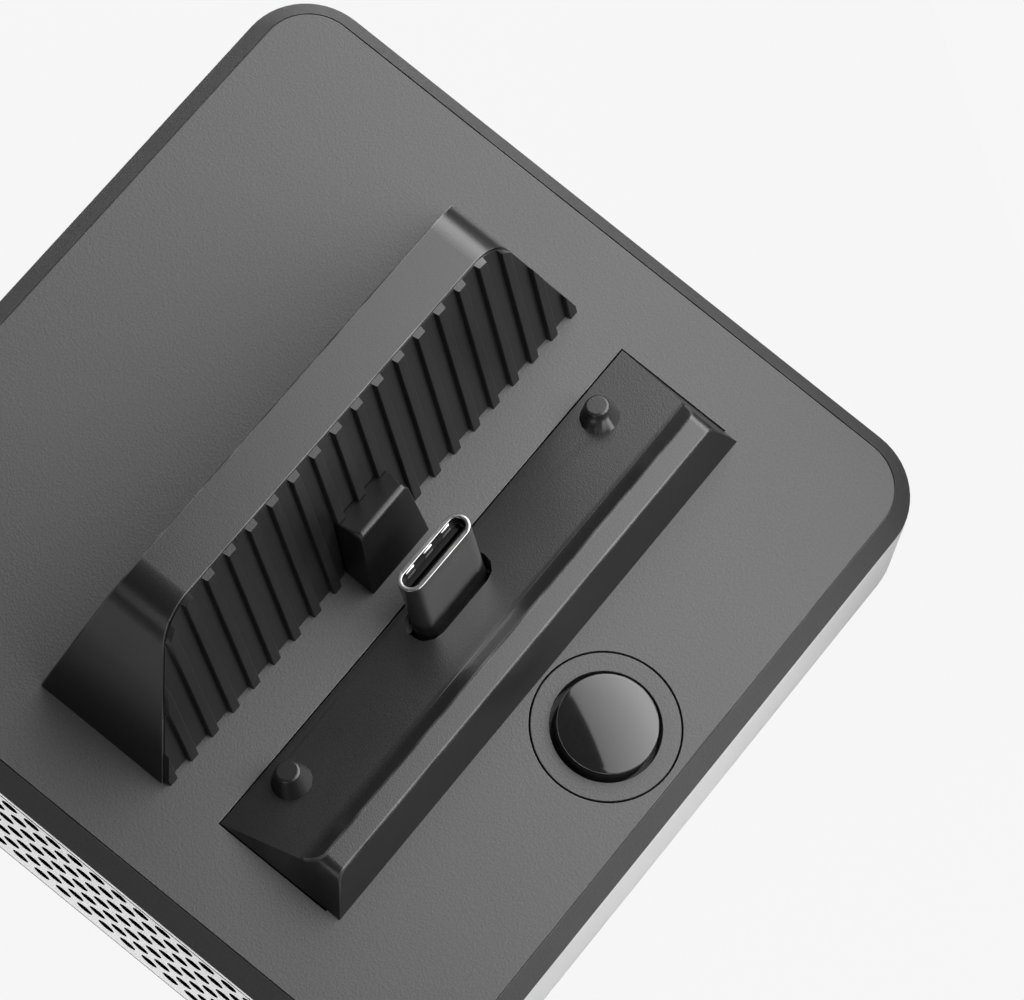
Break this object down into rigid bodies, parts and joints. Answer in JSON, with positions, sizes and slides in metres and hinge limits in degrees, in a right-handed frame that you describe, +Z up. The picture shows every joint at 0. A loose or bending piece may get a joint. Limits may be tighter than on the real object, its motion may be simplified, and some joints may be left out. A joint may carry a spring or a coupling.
{
  "type": "handheld console dock",
  "caption": "Square desk dock with a leaning ribbed backrest, a lipped seat tray with an upright plug, a domed push button, a perforated side panel and sockets at the back.",
  "frame": {"origin": "on the floor under the middle of the case, at the bottom of the feet", "axes": "+X to the right seen from the front, +Y to the back where the sockets are, +Z up"},
  "size_m": [0.0744, 0.073, 0.0319],
  "materials": {
    "case_silver": "fine satin silver",
    "grille_silver": "satin silver sheet with punched holes",
    "cover_grey": "fine grained dark grey",
    "base_black": "matt black",
    "foot_rubber": "matt black",
    "screw_steel": "plain zinc plated",
    "rest_black": "smooth satin near black",
    "pad_rubber": "matt black ribbed rubber",
    "tab_black": "satin black",
    "tray_black": "satin near black",
    "plug_steel": "dark nickel plate",
    "plug_black": "black moulding",
    "contact_gold": "gold plate",
    "spring_steel": "bright spring steel",
    "board_green": "dark green lacquer",
    "flex_amber": "amber film",
    "ring_grey": "fine grained dark grey",
    "button_gloss": "polished black",
    "switch_black": "matt black",
    "chip_black": "matt black",
    "thermal_grey": "soft grey",
    "heat_silver": "mill finish",
    "coil_dark": "dark ferrite",
    "capacitor_silver": "drawn can",
    "socket_steel": "nickel plate",
    "socket_black": "black moulding"
  },
  "bodies": {
    "dock": {"body_shell": "case_silver", "left_grille": "grille_silver", "top_cover": "cover_grey", "base_cover": "base_black", "rubber_feet": "foot_rubber", "base_screws": "screw_steel", "backrest": "rest_black", "backrest_pad": "pad_rubber", "guide_tab": "tab_black", "backrest_screws": "screw_steel", "seat_tray": "tray_black", "tray_screws": "screw_steel", "plug_shell": "plug_steel", "plug_insulator": "plug_black", "plug_contacts": "contact_gold", "plug_springs": "spring_steel", "plug_carrier": "plug_black", "plug_board": "board_green", "plug_board_screws": "screw_steel", "plug_flex": "flex_amber", "flex_socket": "socket_black", "button_ring": "ring_grey", "switch_body": "switch_black", "main_board": "board_green", "board_screws": "screw_steel", "converter_chip": "chip_black", "hub_chip": "chip_black", "thermal_pads": "thermal_grey", "heat_plate": "heat_silver", "power_coil": "coil_dark", "capacitors": "capacitor_silver", "hdmi_shell": "socket_steel", "hdmi_tongue": "socket_black", "usb_a_shell": "socket_steel", "usb_a_tongue": "socket_black", "usb_c_shell": "socket_steel", "usb_c_tongue": "socket_black"},
    "button": {"button_cap": "button_gloss", "switch_plunger": "switch_black"}
  },
  "joints": [
    {"name": "button_press", "type": "slide", "parent": "dock", "child": "button", "axis": [0, 0, -1], "range_m": [0, 0.0006], "stiffness_N_per_m": 800, "springref_m": -0.0004}
  ]
}
